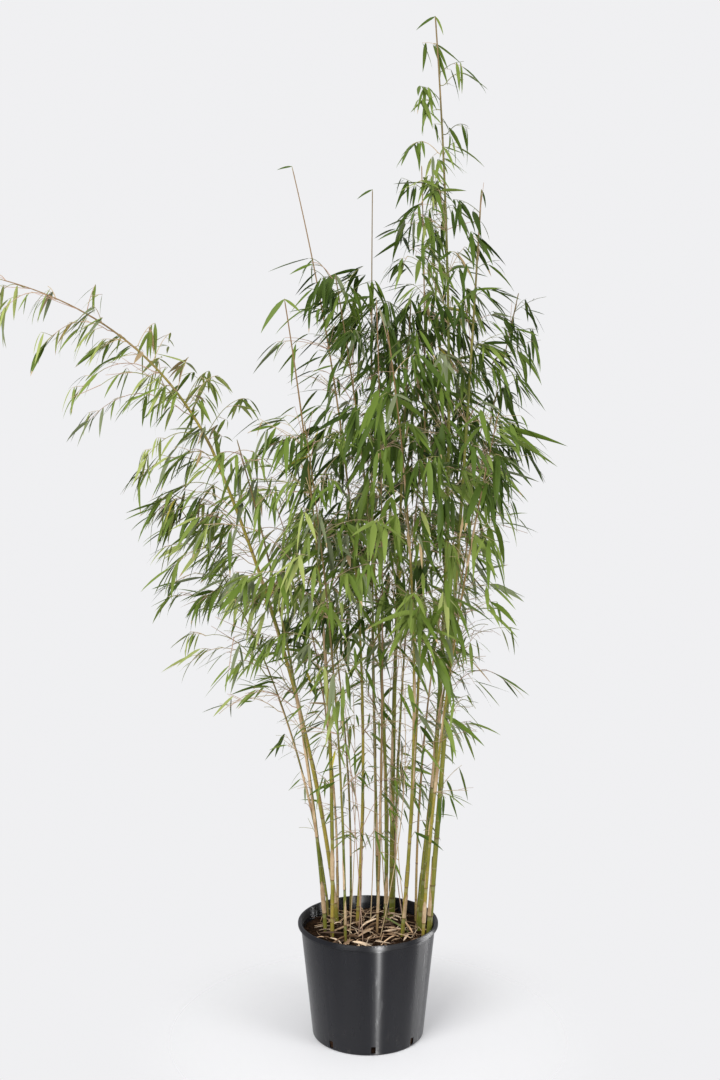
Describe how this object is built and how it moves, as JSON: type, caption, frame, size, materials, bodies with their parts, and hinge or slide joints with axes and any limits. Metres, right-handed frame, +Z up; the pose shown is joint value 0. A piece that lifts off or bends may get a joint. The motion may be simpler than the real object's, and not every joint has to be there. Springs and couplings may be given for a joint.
{
  "type": "potted bamboo",
  "caption": "Tall clump of thin, leafy bamboo culms rising from dark soil in a round black plastic nursery pot, with one long culm arching over to the left.",
  "frame": {"origin": "centre of the pot's flat underside, on the surface it stands on", "axes": "+Z up; +X to the right seen from the front, so the long arching culm reaches to -X; +Y to the back"},
  "size_m": [1.2293, 0.8381, 2.2202],
  "materials": {
    "pot": "satin",
    "soil": "matte",
    "culm_green": "satin",
    "culm_gold": "satin",
    "culm_tan": "matte",
    "leaves": "satin"
  },
  "bodies": {
    "root": {"culm_01": "culm_green", "culm_02": "culm_green", "culm_03_lower": "culm_gold", "culm_03_upper": "culm_gold", "culm_04": "culm_gold", "culm_05": "culm_green", "culm_06": "culm_green", "culm_07": "culm_gold", "culm_08": "culm_tan", "culm_09": "culm_tan", "culm_10": "culm_green", "culm_11": "culm_green", "culm_12": "culm_green", "culm_13": "culm_gold", "culm_14": "culm_gold", "culm_15": "culm_green", "culm_16": "culm_tan", "culm_17": "culm_green", "culm_18": "culm_green", "culm_19": "culm_gold", "culm_20": "culm_green", "leaves_01_side_1": "leaves", "leaves_01_side_2": "leaves", "leaves_01_top": "leaves", "leaves_02_side_1": "leaves", "leaves_02_top": "leaves", "leaves_03_lower_side_1": "leaves", "leaves_03_lower_side_2": "leaves", "leaves_03_upper_side_1": "leaves", "leaves_03_upper_top": "leaves", "leaves_04_side_1": "leaves", "leaves_04_side_2": "leaves", "leaves_05_top": "leaves", "leaves_06_top": "leaves", "leaves_07_side_1": "leaves", "leaves_08_top": "leaves", "leaves_10_side_1": "leaves", "leaves_11_side_1": "leaves", "leaves_11_top": "leaves", "leaves_12_side_1": "leaves", "leaves_12_top": "leaves", "leaves_13_side_1": "leaves", "leaves_13_top": "leaves", "leaves_14_side_1": "leaves", "leaves_14_top": "leaves", "leaves_15_top": "leaves", "leaves_16_top": "leaves", "leaves_17_side_1": "leaves", "leaves_17_side_2": "leaves", "leaves_17_top": "leaves", "leaves_18_side_1": "leaves", "leaves_18_side_2": "leaves", "leaves_18_top": "leaves", "leaves_19_side_1": "leaves", "leaves_19_top": "leaves", "leaves_20_side_1": "leaves", "leaves_20_side_2": "leaves", "leaves_20_top": "leaves", "pot": "pot", "soil": "soil"}
  },
  "joints": []
}
